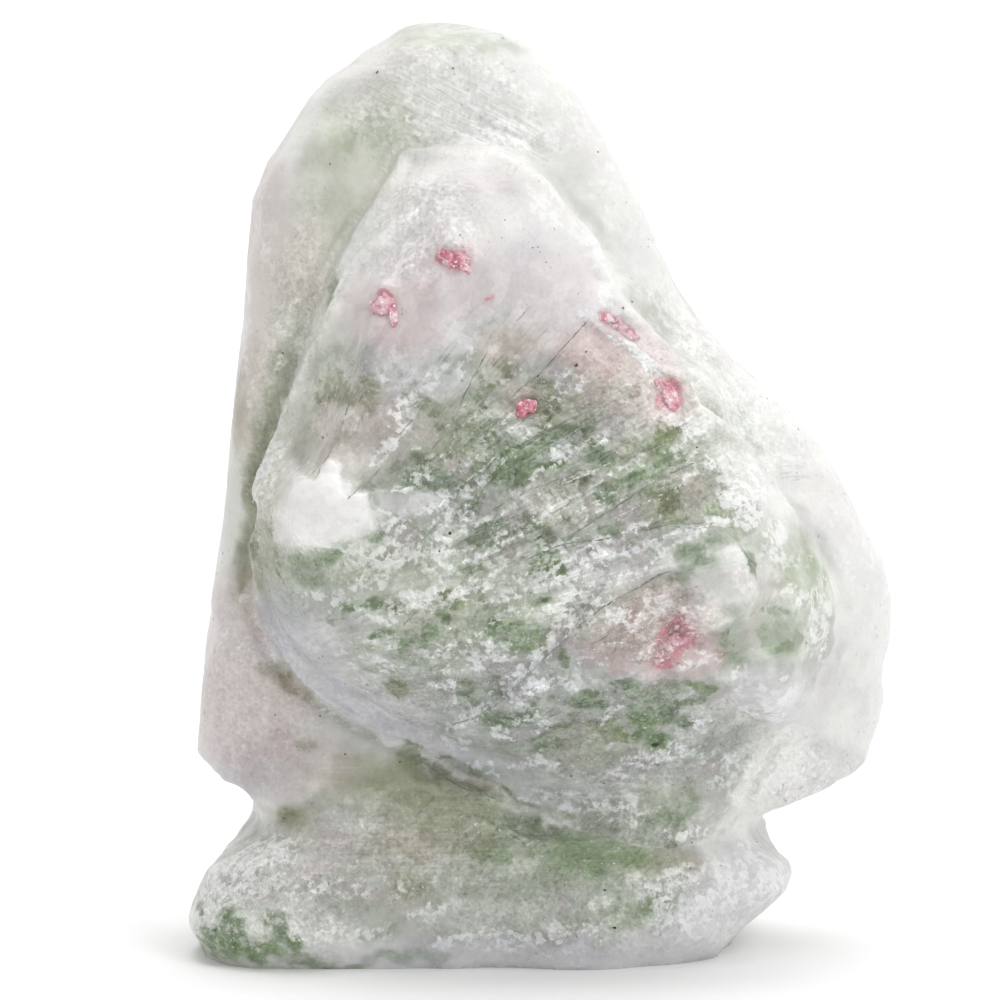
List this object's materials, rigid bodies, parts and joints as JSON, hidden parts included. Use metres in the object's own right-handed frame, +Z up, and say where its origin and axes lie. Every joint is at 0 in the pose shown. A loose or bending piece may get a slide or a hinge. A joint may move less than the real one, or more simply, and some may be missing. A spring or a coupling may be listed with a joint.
{
  "type": "marble mineral specimen with pink crystals",
  "caption": "Rough upright lump of white marble with a rounded crown, a raised front boss holding small pink crystals, a side notch at the waist and a flat foot.",
  "frame": {"origin": "centre of the bounding box's underside, on the resting face", "axes": "+Z up, the stone's height; -Y is the front with the boss and the crystals; +X to the right seen from the front"},
  "size_m": [0.0603, 0.0374, 0.0792],
  "materials": {
    "stone_matrix": "rough, sugary, slightly translucent marble",
    "pink_crystal": "glassy, translucent pink-red"
  },
  "bodies": {
    "root": {"stone_matrix": "stone_matrix", "pink_crystal_upper": "pink_crystal", "pink_crystal_left": "pink_crystal", "pink_crystal_right_pair": "pink_crystal", "pink_crystal_right": "pink_crystal", "pink_crystal_middle": "pink_crystal", "pink_crystal_cluster": "pink_crystal"}
  },
  "joints": []
}
